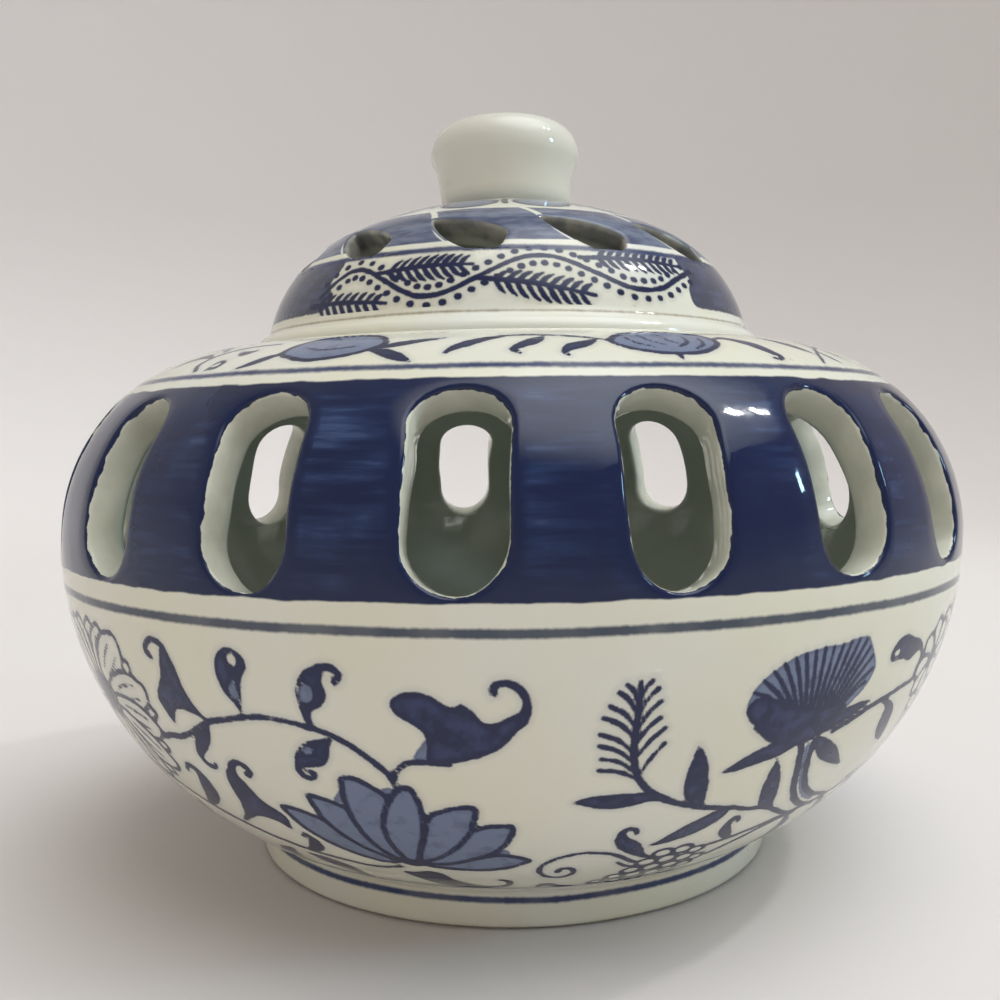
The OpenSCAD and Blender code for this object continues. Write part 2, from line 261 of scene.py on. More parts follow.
lotus += [
    line((-14.8, -36.8, .5), (-13.2, -37.6, 1.0), (-11.6, -37.7, .7)),
    form("tint", (-18, -26.2), (-19.2, -25.9), (-18.4, -24.6), (-17.6, -24)),
    form("tint", (-.8, -33.4), (-.4, -34.9), (-2, -34.8), (-2.2, -34)),
    form("tint", (-13.6, -23.9), (-12.6, -25), (-11.8, -23.6), (-12.6, -23.1)),
    form("ink", (-8, -19.4), (-6, -19.6), (-4, -19.1), (-2, -18.3), (-.4, -16.9), (.8, -15.1), (1.4, -13.6),
         (.6, -13.5), (-.8, -14.3), (-2.3, -14.7), (-3.1, -13.9), (-3.7, -13), (-4.5, -12.5), (-5.2, -13),
         (-6, -12.6), (-7, -11.8), (-8.4, -11.3), (-9.9, -11.5), (-10.9, -12.4), (-10.9, -13.3),
         (-10.3, -14.1), (-9.2, -14.8), (-8.2, -15.8), (-7.9, -17.2)),
    line((.9, -14.6, .6), (1.3, -13.2, .5), (1.2, -11.8, .45), (.5, -10.8, .42), (-.6, -10.3, .42),
         (-1.5, -10.6, .42), (-1.6, -11.3, .5)),
    line((-11.7, -22, .35), (-11.2, -20.7, .35), (-10, -19.7, .38), (-8.2, -19.5, .4), (-6, -19.6, .4)),
    form("tint", (-9.4, -19.2), (-8.5, -17.4), (-7.7, -16.6), (-7.6, -19.3)),
    form("ink", (-15.4, -41), (-13.4, -40.6), (-11.4, -40), (-9.6, -40.6), (-8.8, -42.4), (-7, -44.2),
         (-4.6, -45.4), (-2.6, -45.6), (-3.4, -46.6), (-6.4, -46.9), (-9.6, -46.4), (-12.2, -45),
         (-14, -43)),
    line((-3.4, -46, .5), (-1.6, -45.6, .45), (-.6, -44.2, .42), (-.9, -42.9, .4), (-1.8, -42.5, .4)),
    line((3.6, -46.2, .3), (4.6, -45, .7), (6, -45.6, .6), (7.2, -46.6, .5), (9, -46.8, .3)),
    line((-30, -40.1, .3), (-27.6, -41.3, 1.3), (-25.6, -43, 1.5), (-23.6, -45.8, .4)),
    line((-33, -39.7, .3), (-34.8, -41.1, 1.2), (-35.8, -43, 1.4), (-35, -45.8, .4)),
]
sprig = [line((11.4, -10.6, .26), (11.5, -12.5, .36), (11.4, -15, .4), (11.4, -18, .42), (11.8, -20.5, .42),
         (12.6, -22.6, .42), (13.8, -24.2, .45))]
for root, end in zip(((11.3, -13), (11.3, -14.2), (11.3, -15.6), (11.3, -16.9), (11.3, -18.6),
                      (11.4, -19.8), (11.6, -21), (12.1, -22.2)), ((10.2, -10.9), (9.5, -11.7),
                      (8.8, -13.2), (8.3, -14.4), (8.1, -16.3), (8.1, -17.7), (8.4, -19.3), (8.3, -20.8))):
    bend = (root[0] + end[0]) / 2 + .1, (root[1] + end[1]) / 2 + .35
    sprig.append(line((*root, .2), (*bend, .3), (*end, .3)))
for root, end in zip(((11.6, -12.6), (11.6, -14), (11.6, -15.8), (11.6, -17.6), (11.8, -19.4), (12.3, -22)),
                      ((12.5, -10.6), (13.1, -11.5), (13.5, -12.9), (13.6, -14.8), (14.2, -16),
                      (14.4, -17.9))):
    bend = (root[0] + end[0]) / 2 - .1, (root[1] + end[1]) / 2 + .3
    sprig.append(line((*root, .2), (*bend, .28), (*end, .3)))
branch = [
    line((13, -23, .34), (13.8, -24.2, .45), (15.4, -25.4, .55), (17.4, -26.6, .45), (20, -27.7, .4),
         (23, -28.6, .42), (25.4, -29.1, .42), (28, -30, .38), (31, -30.6, .38), (33.4, -31.8, .4),
         (36, -33.3, .4), (39.5, -34.6, .35)),
    line((6.2, -25.2, .15), (7.6, -25.2, .75), (9.8, -25.4, 1.15), (12, -25.4, 1.05), (13.8, -25.2, .8),
         (15.2, -25.6, .4)),
    line((18.1, -18.6, .15), (18.5, -20.4, .8), (18.8, -22.6, 1.3), (19.3, -25, 1.35), (20.2, -27.2, .75),
         (20.8, -28, .3)),
    line((24.8, -28.9, .3), (23.8, -30.2, 1.15), (21.6, -31.8, 1.45), (19.4, -33.2, 1.05),
         (17.6, -34.2, .5), (16.4, -34.6, .15)),
    line((28.6, -22.4, .15), (28.9, -24, .75), (29.5, -26.2, 1.2), (30.3, -28.6, 1.25), (31.4, -30.4, .7),
         (32.6, -31.4, .3)),
    line((27.9, -32.4, .3), (27.6, -31.6, .35), (26.8, -31.4, .4), (26.5, -32.6, .55), (26.9, -34, .8),
         (27.8, -35.3, .75), (28.8, -36.2, .35)),
    line((14.1, -31.5, .3), (13.8, -30.7, .35), (12.9, -30.4, .4), (12.3, -31.2, .5), (12.6, -32.6, .85),
         (13.7, -34, 1.15), (15, -35.4, .95), (16.2, -36.8, .5), (17.8, -37.9, .35)),
    line((25, -37.4, .4), (28, -36.7, .42), (31, -35.9, .42), (35.5, -34.6, .42), (39, -33.8, .42),
         (44, -33, .38), (50, -31.4, .34)),
    line((28.3, -40.5, .4), (29.5, -39.4, .42), (31, -38.2, .42), (33, -36.8, .42), (35.5, -35.4, .4),
         (38.5, -34.4, .3)),
    line((17.4, -39.6, .34), (15.4, -38.4, .34), (13.6, -36.8, .36), (11.8, -35.6, .34), (8.4, -34.9, .33),
         (5.6, -35.7, .34), (3.7, -37.4, .34), (3.3, -39.4, .34), (4.4, -41.3, .34), (6.4, -41.8, .34),
         (7.9, -40.8, .34), (7.6, -39.1, .36), (6.2, -38.8, .38), (5.8, -39.8, .4)),
    line((17, -40.6, .3), (15, -39.7, .32), (13.3, -38.1, .2)),
]
berries, eighths = [], np.linspace(0, math.tau, 8, endpoint=False)
for az, s, r in ((19.4, -37.2, 1.2), (22.2, -37, 1.2), (24.6, -37.9, 1.1), (17.9, -39.4, 1.25),
                 (20.9, -39.3, 1.3), (23.8, -39.8, 1.25), (26.2, -40.6, 1.1), (16.6, -41.7, 1.2),
                 (19.6, -41.6, 1.3), (22.8, -42, 1.3), (25.6, -43, 1.2), (14.8, -43.8, 1.15),
                 (17.9, -44, 1.3), (21.2, -44.4, 1.3), (24.2, -45.2, 1.1), (12.6, -45.6, 1.0),
                 (15.8, -46.1, 1.1), (19.2, -46.4, 1.0)):
    berry = [(az + 1.15 * r * math.cos(a), s + 0.9 * r * math.sin(a)) for a in eighths]
    berries.append(form("pale", *berry))
rim = [(22.5, -14.6), (22.8, -12.9), (24, -11.4), (25.6, -10.3), (27.4, -9.4), (29.4, -9.1), (31.4, -8.9),
       (33.4, -8.9), (35.4, -8.5), (37, -8.6), (37.8, -9.5), (38.6, -10.9), (39.4, -12.4), (38.9, -14.2),
       (37.6, -15.8), (36, -17.2)]
fan = [form("tint", *rim, (34, -19), (32.4, -20.4), (30, -20.4), (27.6, -19.5), (25.6, -18.4), (24, -17.2),
       (23, -16))]
fan.append(form("ink", (22.5, -14.9), (23.6, -13.6), (25.4, -13.9), (27.6, -15), (29.6, -15.6), (31.4, -16),
                (33.6, -15.8), (36, -16.4), (36, -17.4), (34, -19), (32.4, -20.4), (30, -20.4),
                (27.6, -19.5), (25.6, -18.4), (24, -17.2), (23, -16.1)))
stripes = []
for k, (az, s) in enumerate(((23, -13), (23.9, -11.8), (24.9, -10.9), (26, -10.2), (27.2, -9.7),
                             (28.4, -9.4), (29.6, -9.3), (30.8, -9.1), (32, -9.1), (33.2, -9.1),
                             (34.4, -8.9), (35.6, -8.8), (36.8, -8.9), (37.6, -9.9), (38.3, -11.1),
                             (38.9, -12.6), (38.2, -14.2))):
    foot = (27.4 + 0.5 * k, -16 - 0.02 * k)
    bend = (az + foot[0]) / 2 - 0.25 * (8 - k) / 8, (s + foot[1]) / 2 + 0.5
    stripes.append(line((az, s, .27), (*bend, .30), (*foot, .3)))
fan += [
    line((24, -17.2, .3), (27, -19, .8), (30.5, -19.6, 1.2), (33.4, -18.8, .9), (36, -17.2, .4)),
    line((30, -20.4, .5), (28, -20.8, 1.1), (25.6, -21.3, 1.05), (23.4, -22.2, .7), (21.8, -22.8, .2)),
    line((33.5, -20.6, .6), (35.4, -22.2, 1.15), (37.4, -23.6, 1.1), (39.2, -24.9, .7), (41, -26, .2)),
    line((33.5, -19.4, .6), (36, -18.2, .95), (38.4, -17.4, .7), (40.4, -17, .2)),
    line((31, -20.2, .45), (31.9, -22.6, .5), (32.8, -25.4, .5), (34.2, -28.2, .5), (36.4, -30.9, .5),
         (39.4, -32.8, .45), (43, -33.8, .35)),
    line((33, -21, .4), (33.8, -24, .42), (35.2, -27, .45), (37.4, -29.4, .45), (40.2, -31.1, .42),
         (44, -32.2, .35)),
    form("tint", (32, -21.2), (33, -24.4), (34.8, -28), (37.4, -30.6), (40.6, -32.4), (40.8, -31.6),
         (37.6, -29.6), (35.2, -26.8), (33.8, -23.6), (33.2, -21.2)),
    line((35.6, -19.9, .4), (38.5, -18.8, .45), (41, -17.9, .42), (44, -17.3, .42), (47, -16.7, .4),
         (50, -16.3, .36)),
    line((43.4, -17.5, .3), (45.6, -18.6, .6), (46.8, -20.6, 1.5), (47.9, -22.6, 1.3), (49.6, -24.6, .3)),
    form("ink", (42.2, -12.5), (42, -11.2), (43, -10), (44.6, -9.6), (46.6, -10.2), (48.6, -10.9),
         (49.8, -12), (48.4, -12.4), (46.6, -13.1), (45, -12.6), (43.6, -12.6)),
    form("lift", (43.4, -11), (43.7, -11.6), (43.2, -12.1), (42.7, -11.6)),
    line((49.4, -11.8, .35), (50.4, -13.2, .35), (50, -15, .3), (50.2, -16.4, .3)),
]
half_bloom = ((26, 12.7, 1.9), (-1, 13.8, 1.6), (-25, 13.5, 1.8), (-52, 13.6, 1.7), (69, 9.8, 1.5),
              (77, 10.2, 2.2), (60, 10.9, 2.3), (41, 12.9, 2.9), (10.5, 13.7, 2.7), (-13, 13.3, 2.5),
              (-38, 14.4, 2.6), (-64, 13, 2.2), (-80, 11.4, 2.0))
blooms = bloom((-54, -17.6), 2.6, [p for a, *size in half_bloom for p in ((a, *size), (180 - a, *size))])
small_bloom = [(45 * i + turn, length, 1.5) for turn, length in ((34, 4.6), (11, 5.4)) for i in range(8)]
blooms += bloom((55.4, -14.4), 1.3, small_bloom)
fan += [
    line((44.5, -33.2, .35), (47, -35.6, .8), (48, -38.4, 1.1), (47.4, -41, .8), (46, -43, .3)),
    line((50, -31.6, .35), (53.4, -33.6, .9), (55, -36.6, 1.2), (54.8, -39.6, .8), (53.4, -42, .3)),
    line((38.6, -35, .35), (40.4, -37.6, .85), (40.8, -40.4, 1.0), (39.6, -43.4, .6), (38.2, -45, .25)),
    line((58, -30, .3), (60, -33, 1.0), (60.4, -36.4, 1.2), (59.2, -40, .7), (57.6, -42.6, .25)),
    line((-47.4, -33.6, .3), (-48.8, -37, .9), (-48.4, -40.4, 1.0), (-46.4, -43.6, .5), (-45, -45.4, .2)),
    line((-53, -32.4, .3), (-54.2, -35.8, .8), (-53.6, -39.6, .9), (-51.6, -43, .4), (-50.4, -45, .2)),
    line((48, -30.6, .3), (52, -30.2, .38), (56, -28.9, .38), (60, -28.6, .38), (66, -28.9, .38),
         (72, -30.4, .3)),
]
fruit = [
    form("petal", (-30, 27.8), (-28, 26.7), (-24.4, 25.7), (-20, 26.4), (-17, 27.8), (-15.7, 29.7),
         (-17.6, 32.2), (-22, 33.6), (-26.6, 32.8), (-29.4, 30.4)),
    line((-27.6, 29.4, .2), (-24, 28.2, .24), (-19.6, 28.8, .2)),
    line((-30.2, 27.7, .3), (-32, 26.6, .7), (-33.8, 25.4, .5), (-35.2, 24.7, .15)),
    line((-16.8, 27.6, .3), (-15, 27, .8), (-13, 25.8, .8), (-11, 24.6, .2)),
    line((-16, 28.2, .3), (-13.6, 29, .75), (-11, 29.9, .6), (-8, 30.6, .15)),
    line((-.5, 30.8, .25), (-2.6, 30, .6), (-4.6, 28.8, .85), (-6.4, 27.4, .6), (-7.2, 26.3, .3)),
    line((4.5, 30.4, .3), (3.4, 29.2, .85), (1.8, 28, .7), (.6, 26.8, .4), (1.4, 26, .3)),
    line((11, 29.2, .3), (9.4, 28.2, .85), (7.6, 27.4, .75), (6.6, 26.2, .4), (7, 25.4, .2)),
    line((-1, 30.9, .3), (3, 31.3, .32), (7, 30.9, .32), (10, 30.2, .3), (13, 29.2, .3)),
    form("petal", (13, 29), (14.6, 27.2), (17.5, 26.2), (20.4, 25.9), (24, 26.3), (27, 27.8), (28.6, 29.6),
         (27.5, 31.8), (24, 33), (19, 32.8), (15, 31.4)),
    line((15.2, 30.4, .24), (16.2, 28.6, .26), (18.2, 27.4, .2)),
    line((17.6, 31, .24), (18.4, 29.2, .26), (20, 28.1, .2)),
    line((20.6, 31.4, .2), (20.9, 29.8, .24), (22, 28.6, .2)),
    line((21.6, 27.6, .2), (23.6, 29, .26), (24.2, 31, .2)),
    line((23.8, 27.2, .2), (25.8, 28.6, .26), (26.4, 30.6, .2)),
    line((20.3, 26, .4), (20.4, 25.3, .35), (20.5, 24.7, .2)),
    line((28.4, 30.2, .3), (31, 31, .45), (34.2, 29.4, .95), (35.4, 27.6, .9), (36.4, 26, .5),
         (35.6, 25.2, .3), (34.8, 25.5, .3)),
    line((40.5, 32.6, .3), (42.6, 31.2, .8), (44.6, 29.4, .8), (46, 27.6, .3)),
    line((44.5, 25, .25), (47.5, 27.6, .28), (52, 30, .28), (57, 31.4, .25)),
    line((49, 28.7, .2), (49.6, 26.8, .5), (50.4, 25.4, .15)),
    line((53, 30.4, .2), (54.2, 28.4, .6), (55.4, 26.6, .15)),
    line((51, 29.6, .2), (50.6, 31.4, .5), (51.2, 33, .15)),
    line((-36.4, 29.5, .3), (-38, 28.8, .7), (-39.6, 29.4, .3)),
    line((-43.8, 25, .35), (-45.6, 26.6, .4), (-45, 29, .42), (-42.6, 30.6, .4), (-39, 31.4, .3),
         (-34, 31.6, .25)),
    line((-41.6, 25.2, .3), (-39.8, 25.4, .35), (-39.6, 26.6, .35), (-40.8, 27, .3), (-41.4, 26.2, .25)),
    line((-46, 28.6, .3), (-49, 29.4, .8), (-52, 28.6, .7), (-54.6, 26.8, .2)),
    line((-45.4, 30.4, .3), (-48, 32.2, .7), (-51, 32.8, .5), (-54, 32, .2)),
]
fine_marks = sprig + berries + stripes
pot_marks = vine + lotus + branch + fan + fruit + blooms + sprig + berries + stripes


def brushed(marks, az, s, r):
    """Distance in millimetres from each place to the nearest edge of ink and of tint, negative inside."""
    ink, tint = np.full(len(az), 4.0), np.full(len(az), 4.0)
    per_degree = np.radians(r)
    az = (az + REPEAT / 2) % REPEAT - REPEAT / 2
    for kind, path in marks:
        low, high = path[:, :2].min(0) - 3, path[:, :2].max(0) + 3
        for turn in (-REPEAT, 0, REPEAT):
            near = np.flatnonzero((az - turn > low[0]) & (az - turn < high[0])
                                  & (s > low[1]) & (s < high[1]))
            if len(near) == 0:
                continue
            a, b = path[:-1], path[1:]
            x, y, k = (az[near] - turn)[:, None], s[near][:, None], per_degree[near][:, None]
            px, py, vx, vy = (x - a[:, 0]) * k, y - a[:, 1], (b - a)[:, 0] * k, (b - a)[:, 1]
            t = np.clip((px * vx + py * vy) / np.maximum(vx ** 2 + vy ** 2, 1e-9), 0, 1)
            gap = np.hypot(px - t * vx, py - t * vy)
            if kind == "line":
                ink[near] = np.minimum(ink[near], (gap - a[:, 2] - t * (b - a)[:, 2]).min(1))
                continue
            rise = np.where(b[:, 1] == a[:, 1], 1e-9, b[:, 1] - a[:, 1])
            crossed = ((a[:, 1] > y) != (b[:, 1] > y)) & (x < a[:, 0] + (b - a)[:, 0] * (y - a[:, 1]) / rise)
            edge = gap.min(1) * np.where(crossed.sum(1) % 2 == 1, -1, 1)
            if kind == "ink":
                ink[near] = np.minimum(ink[near], edge)
            elif kind == "tint":
                tint[near] = np.minimum(tint[near], edge)
            else:
                ink[near] = np.maximum(ink[near], -edge)
                if kind == "pale":
                    tint[near] = np.maximum(tint[near], -edge)
                if kind == "petal":
                    tint[near] = np.minimum(tint[near], edge)
                if kind in OUTLINE:
                    ink[near] = np.minimum(ink[near], np.abs(edge) - OUTLINE[kind])
    return ink, tint


def pot_place(co):
    """Degrees round, distance up the wall, radius and depth in the wall of places on the pot."""
    r, z = np.hypot(co[:, 0], co[:, 1]) / MM, co[:, 2] / MM - EQUATOR_Z
    arc = np.where(z >= 0, SHOULDER_ARC, BELLY_ARC)
    x = r - BODY_R + arc
    return np.degrees(np.arctan2(co[:, 0], -co[:, 1])), arc * np.arctan2(z, x), r, arc - np.hypot(x, z)


def finer(bm, place, wall, rounds):
    """Split the outside where brushwork has an edge, and lay the new corners back on the wall."""
    bmesh.ops.remove_doubles(bm, verts=bm.verts, dist=MERGE * MM)
    for marks, cell, reach in rounds:
        bm.verts.index_update()
        bm.edges.index_update()
        az, s, r, depth = place(np.array([v.co for v in bm.verts]))
        gap = np.abs(brushed(marks, az, s, r)).min(0)
        gap[np.abs(depth) > SKIN] = 9.0
        length = np.array([e.calc_length() for e in bm.edges]) / MM
        split = np.zeros(len(length), bool)
        for face in bm.faces:
            sides = [e.index for e in face.edges]
            longest = length[sides].max()
            if longest > cell and min(gap[v.index] for v in face.verts) < reach * longest:
                split[sides] = True
        split &= length > 0.8 * cell
        bmesh.ops.subdivide_edges(bm, edges=[e for e in bm.edges if split[e.index]], cuts=1,
                                  use_grid_fill=True)
        bm.verts.ensure_lookup_table()
        az, s, r, depth = place(np.array([v.co for v in bm.verts]))
        for i in np.flatnonzero((np.abs(depth) < SKIN) & (np.abs(depth) > 1e-5)):
            bm.verts[i].co = on_wheel(az[i], *wall(s[i]))


def keep(piece, **values):
    """Keep a value in millimetres at each corner of a piece, for its material to read."""
    for name, value in values.items():
        attribute = piece.data.attributes.new(name, "FLOAT", "POINT")
        attribute.data.foreach_set("value", np.asarray(value, np.float32))


def corners(piece):
    co = np.empty(3 * len(piece.data.vertices), np.float32)
    piece.data.vertices.foreach_get("co", co)
    return co.reshape(-1, 3).astype(float)


def put(tree, kind, inputs=None, **settings):
    """Place a node in a tree, set it, and give its inputs their values or links."""
    node = tree.nodes.new("ShaderNode" + kind)
    for name, value in settings.items():
        setattr(node, name, value)
    for key, value in (inputs or {}).items():
        if isinstance(value, bpy.types.NodeSocket):
            tree.links.new(value, node.inputs[key])
        else:
            node.inputs[key].default_value = value
    return node


def calc(tree, operation, a, b=0.0, c=0.0):
    return put(tree, "Math", {0: a, 1: b, 2: c}, operation=operation).outputs[0]


def fade(tree, value, start, end, low=0.0, high=1.0):
    """A soft step from low to high, as a value goes from start to end."""
    inputs = {"Value": value, "From Min": start, "From Max": end, "To Min": low, "To Max": high}
    return put(tree, "MapRange", inputs, interpolation_type="SMOOTHSTEP").outputs["Result"]


def over(tree, mask, under, colour):
    return put(tree, "Mix", {0: mask, 6: under, 7: colour}, data_type="RGBA").outputs[2]


def mottle(tree, where, scale, detail=2.0):
    return put(tree, "TexNoise", {"Vector": where, "Scale": scale, "Detail": detail}).outputs[0]


def in_mm(tree, stretch=(1.0, 1.0, 1.0)):
    """Object coordinates in millimetres, stretched along the axes."""
    where, scale = put(tree, "TexCoord").outputs["Object"], tuple(k / MM for k in stretch)
    return put(tree, "VectorMath", {0: where, 1: scale}, operation="MULTIPLY").outputs[0]


def uneven(tree, where, scale, amount, detail=2.0):
    """A soft wander about zero, such as a hand gives an edge."""
    return calc(tree, "MULTIPLY", calc(tree, "SUBTRACT", mottle(tree, where, scale, detail), 0.5), amount)


def blotched(tree, where, scale, colour, other):
    """Two close colours in soft blotches."""
    return over(tree, fade(tree, mottle(tree, where, scale, 3.0), 0.35, 0.7), colour, other)


def height_of(tree):
    """Height in millimetres above what the vase stands on."""
    return put(tree, "SeparateXYZ", {0: in_mm(tree)}).outputs["Z"]


def off_band(tree, height, low, high):
    """Distance outside a painted band between two heights, negative inside."""
    from_middle = calc(tree, "ABSOLUTE", calc(tree, "SUBTRACT", height, (low + high) / 2))
    return calc(tree, "SUBTRACT", from_middle, (high - low) / 2)


def effect(name, ins, outs):
    """An empty node group with named inputs and outputs."""
    tree = bpy.data.node_groups.new(name, "ShaderNodeTree")
    for direction, sockets in (("INPUT", ins), ("OUTPUT", outs)):
        for socket, kind in sockets.items():
            tree.interface.new_socket(socket, in_out=direction, socket_type="NodeSocket" + kind)
    return tree, tree.nodes.new("NodeGroupInput").outputs, tree.nodes.new("NodeGroupOutput").inputs


def use(tree, group, inputs):
    return put(tree, "Group", inputs, node_tree=group).outputs


# Cobalt under glaze: strokes bleed a little at the edge, pool darker there and thin out inside.
tree, ins, outs = effect(
    "brushwork", {"Ground": "Color", "Ink": "Float", "Tint": "Float", "Ink Colour": "Color",
                  "Thin Ink": "Color", "Tint Colour": "Color", "Deep Tint": "Color"}, {"Colour": "Color"})
where = in_mm(tree)
waver = calc(tree, "ADD", uneven(tree, where, 0.8, 0.34), uneven(tree, where, 4.0, 0.16))
ink = calc(tree, "ADD", ins["Ink"], waver)
tint = calc(tree, "ADD", ins["Tint"], waver)
cloud = mottle(tree, where, 0.55, 4.0)
pooled = calc(tree, "MAXIMUM", fade(tree, tint, -0.7, -0.1), fade(tree, cloud, 0.5, 0.72))
tinted = over(tree, pooled, ins["Tint Colour"], ins["Deep Tint"])
thinned = calc(tree, "MULTIPLY", fade(tree, ink, -0.25, -0.9), fade(tree, cloud, 0.38, 0.64))
wet = over(tree, thinned, ins["Ink Colour"], ins["Thin Ink"])
bled = calc(tree, "MULTIPLY", fade(tree, ink, 0.9, 0.0), 0.16)
colour = over(tree, bled, ins["Ground"], ins["Tint Colour"])
washed = calc(tree, "MULTIPLY", fade(tree, tint, 0.14, -0.16), 0.94)
colour = over(tree, washed, colour, tinted)
tree.links.new(over(tree, fade(tree, ink, 0.13, -0.12), colour, wet), outs["Colour"])
brushwork = tree

# Line drawn on the turning wheel: a ring of thin paint round a height, a little uneven in width and
# tone.
tree, ins, outs = effect(
    "wheel_line", {"Ground": "Color", "Height": "Float", "Half Width": "Float", "Paint": "Color"},
    {"Colour": "Color"})
where = in_mm(tree, (1, 1, 0.2))
height = calc(tree, "ADD", height_of(tree), uneven(tree, where, 0.05, 0.5))
gap = calc(tree, "ABSOLUTE", calc(tree, "SUBTRACT", height, ins["Height"]))
gap = calc(tree, "ADD", gap, uneven(tree, where, 1.3, 0.22))
edge = calc(tree, "SUBTRACT", gap, ins["Half Width"])
loaded = fade(tree, mottle(tree, where, 0.12), 0.2, 0.6, 0.86, 1.0)
strength = calc(tree, "MULTIPLY", fade(tree, edge, 0.2, -0.22), loaded)
tree.links.new(over(tree, strength, ins["Ground"], ins["Paint"]), outs["Colour"])
wheel_line = tree

# Clear glaze: glossy, with the faint ripple of a dipped coat and a few brown pinholes.
IRON_SPECK = (0.20, 0.16, 0.11, 1)
tree, ins, outs = effect("glaze_skin", {"Ripple": "Float"},
                         {"Roughness": "Float", "Height": "Float", "Speck": "Float"})
where = in_mm(tree)
sheen = fade(tree, mottle(tree, where, 0.25, 3.0), 0.3, 0.75, 0.03, 0.11)
tree.links.new(sheen, outs["Roughness"])
swell = calc(tree, "MULTIPLY", mottle(tree, where, 0.16, 1.0), ins["Ripple"])
peel = calc(tree, "MULTIPLY", mottle(tree, where, 1.1, 1.0), 0.1)
pin = put(tree, "TexVoronoi", {"Vector": where, "Scale": 0.11}).outputs["Distance"]
pit = fade(tree, pin, 0.022, 0.01)
relief = calc(tree, "SUBTRACT", calc(tree, "ADD", swell, peel), calc(tree, "MULTIPLY", pit, 0.12))
tree.links.new(relief, outs["Height"])
tree.links.new(pit, outs["Speck"])
glaze_skin = tree


def glaze(name, ripple):
    """A glazed porcelain material, with its glossy skin in place and its colour still to be painted."""
    material = bpy.data.materials.new(name)
    material.use_nodes = True
    tree = material.node_tree
    shader = tree.nodes["Principled BSDF"].inputs
    skin = use(tree, glaze_skin, {"Ripple": ripple})
    bump = put(tree, "Bump", {"Height": skin["Height"], "Strength": 0.25, "Distance": 0.25 * MM})
    tree.links.new(skin["Roughness"], shader["Roughness"])
    tree.links.new(bump.outputs[0], shader["Normal"])
    shader["IOR"].default_value = 1.52
    shader["Specular IOR Level"].default_value = 0.36
    return material, tree, shader["Base Color"], skin["Speck"]


def ringed(tree, colour, rings):
    """A colour with wheel lines over it, each a height, a half width and a paint."""
    for height, half, paint in rings:
        ring = {"Ground": colour, "Height": height, "Half Width": half, "Paint": paint}
        colour = use(tree, wheel_line, ring)["Colour"]
    return colour


def specked(tree, colour, speck, strength):
    """A painted colour with the brown of the pinholes in it."""
    return over(tree, calc(tree, "MULTIPLY", speck, strength), colour, IRON_SPECK)


def kept(tree, name):
    return put(tree, "Attribute", attribute_name=name).outputs["Fac"]


CREAM, PALE_CREAM = (0.74, 0.72, 0.59, 1), (0.75, 0.742, 0.655, 1)
CLAY, PALE_CLAY, SHADED_CLAY = (0.57, 0.575, 0.485, 1), (0.68, 0.68, 0.575, 1), (0.53, 0.58, 0.51, 1)
INK, THIN_INK = (0.012, 0.017, 0.062, 1), (0.030, 0.041, 0.115, 1)
TINT, DEEP_TINT = (0.128, 0.168, 0.285, 1), (0.083, 0.113, 0.21, 1)
COBALT, THIN_COBALT = (0.004, 0.012, 0.056, 1), (0.018, 0.038, 0.115, 1)
WORN_COBALT = (0.055, 0.088, 0.185, 1)
LINE_BLUE, LINE_GREY = (0.040, 0.055, 0.13, 1), (0.060, 0.074, 0.105, 1)
FOOT_EDGE = (0.22, 0.18, 0.12, 1)
brushes = {"Ink Colour": INK, "Thin Ink": THIN_INK, "Tint Colour": TINT, "Deep Tint": DEEP_TINT}


bm = bmesh.new()
end_r, straight = SLOT_W / 2, (SLOT_LEN - SLOT_W) / 2
slot_outline = np.array(bow((0, SLOT_MID - straight), end_r, -90, 0, 24)
                        + bow((0, SLOT_MID + straight), end_r, 0, 180, 48)
                        + bow((0, SLOT_MID - straight), end_r, 180, 268, 24))
pierced(bm, SLOTS, SLOT_TURN, SLOT_FIELD, 10, 14, slot_outline, pot_wall, POT_WALL, SLOT_MID, straight,
        SHOULDER_ARC, 0.26, SLOT_SWAY)
seam = SLOT_TURN - 180 / SLOTS
foot = bow((39.8, 3.92), 1.6, 117.5, 180, 4) + [(38.2, 2.6)] + bow((37.2, 1.0), 1.0, 0, -90, 4)
foot += bow((34.8, 1.0), 1.0, -90, -180, 4) + bow((33.2, 2.7), 0.6, 0, 90, 3)
foot += [(22, 3.3), (11, 3.3), (0, 3.3)]
turned(bm, run(pot_wall, SLOT_FIELD[0], -50.51, 26) + foot, seam, SLOTS * 10)
gallery = bow((38.9, 71.1), 0.8, 90, 180, 4)[1:] + bow((37.7, 70.3), 0.4, 0, -90, 3)
gallery += bow((33.5, 67.9), 2.0, 90, 270, 8) + [(40, 65.9)]
turned(bm, run(pot_wall, SLOT_FIELD[1], 39.64, 9) + gallery
       + run(pot_wall, 31.0, SLOT_FIELD[1], 4, POT_WALL), seam, SLOTS * 10)
inside = run(pot_wall, SLOT_FIELD[0], -49.85, 12, POT_WALL) + bow((33.16, 17.7), 9.0, -61.7, -90, 4)[1:]
turned(bm, inside + [(22, POT_FLOOR_Z), (11, POT_FLOOR_Z), (0, POT_FLOOR_Z)], seam, SLOTS * 10)
finer(bm, pot_place, pot_wall, [(pot_marks, 1.2, 0.47), (pot_marks, 0.6, 0.33), (fine_marks, 0.3, 0.33)])
pot = fired("glazed_pot", bm)
az, s, r, depth = pot_place(corners(pot))
ink, tint = brushed(pot_marks, az, s, r)
off = np.abs(depth) > SKIN
ink[off], tint[off] = 4.0, 4.0
place = (az - SLOT_TURN + 180 / SLOTS) % 360
middle = place // (360 / SLOTS) * (360 / SLOTS)
stray = SLOT_SWAY * np.cos(np.radians(middle))
aside = np.abs(r * np.sin(np.radians(place - 180 / SLOTS - middle - stray)))
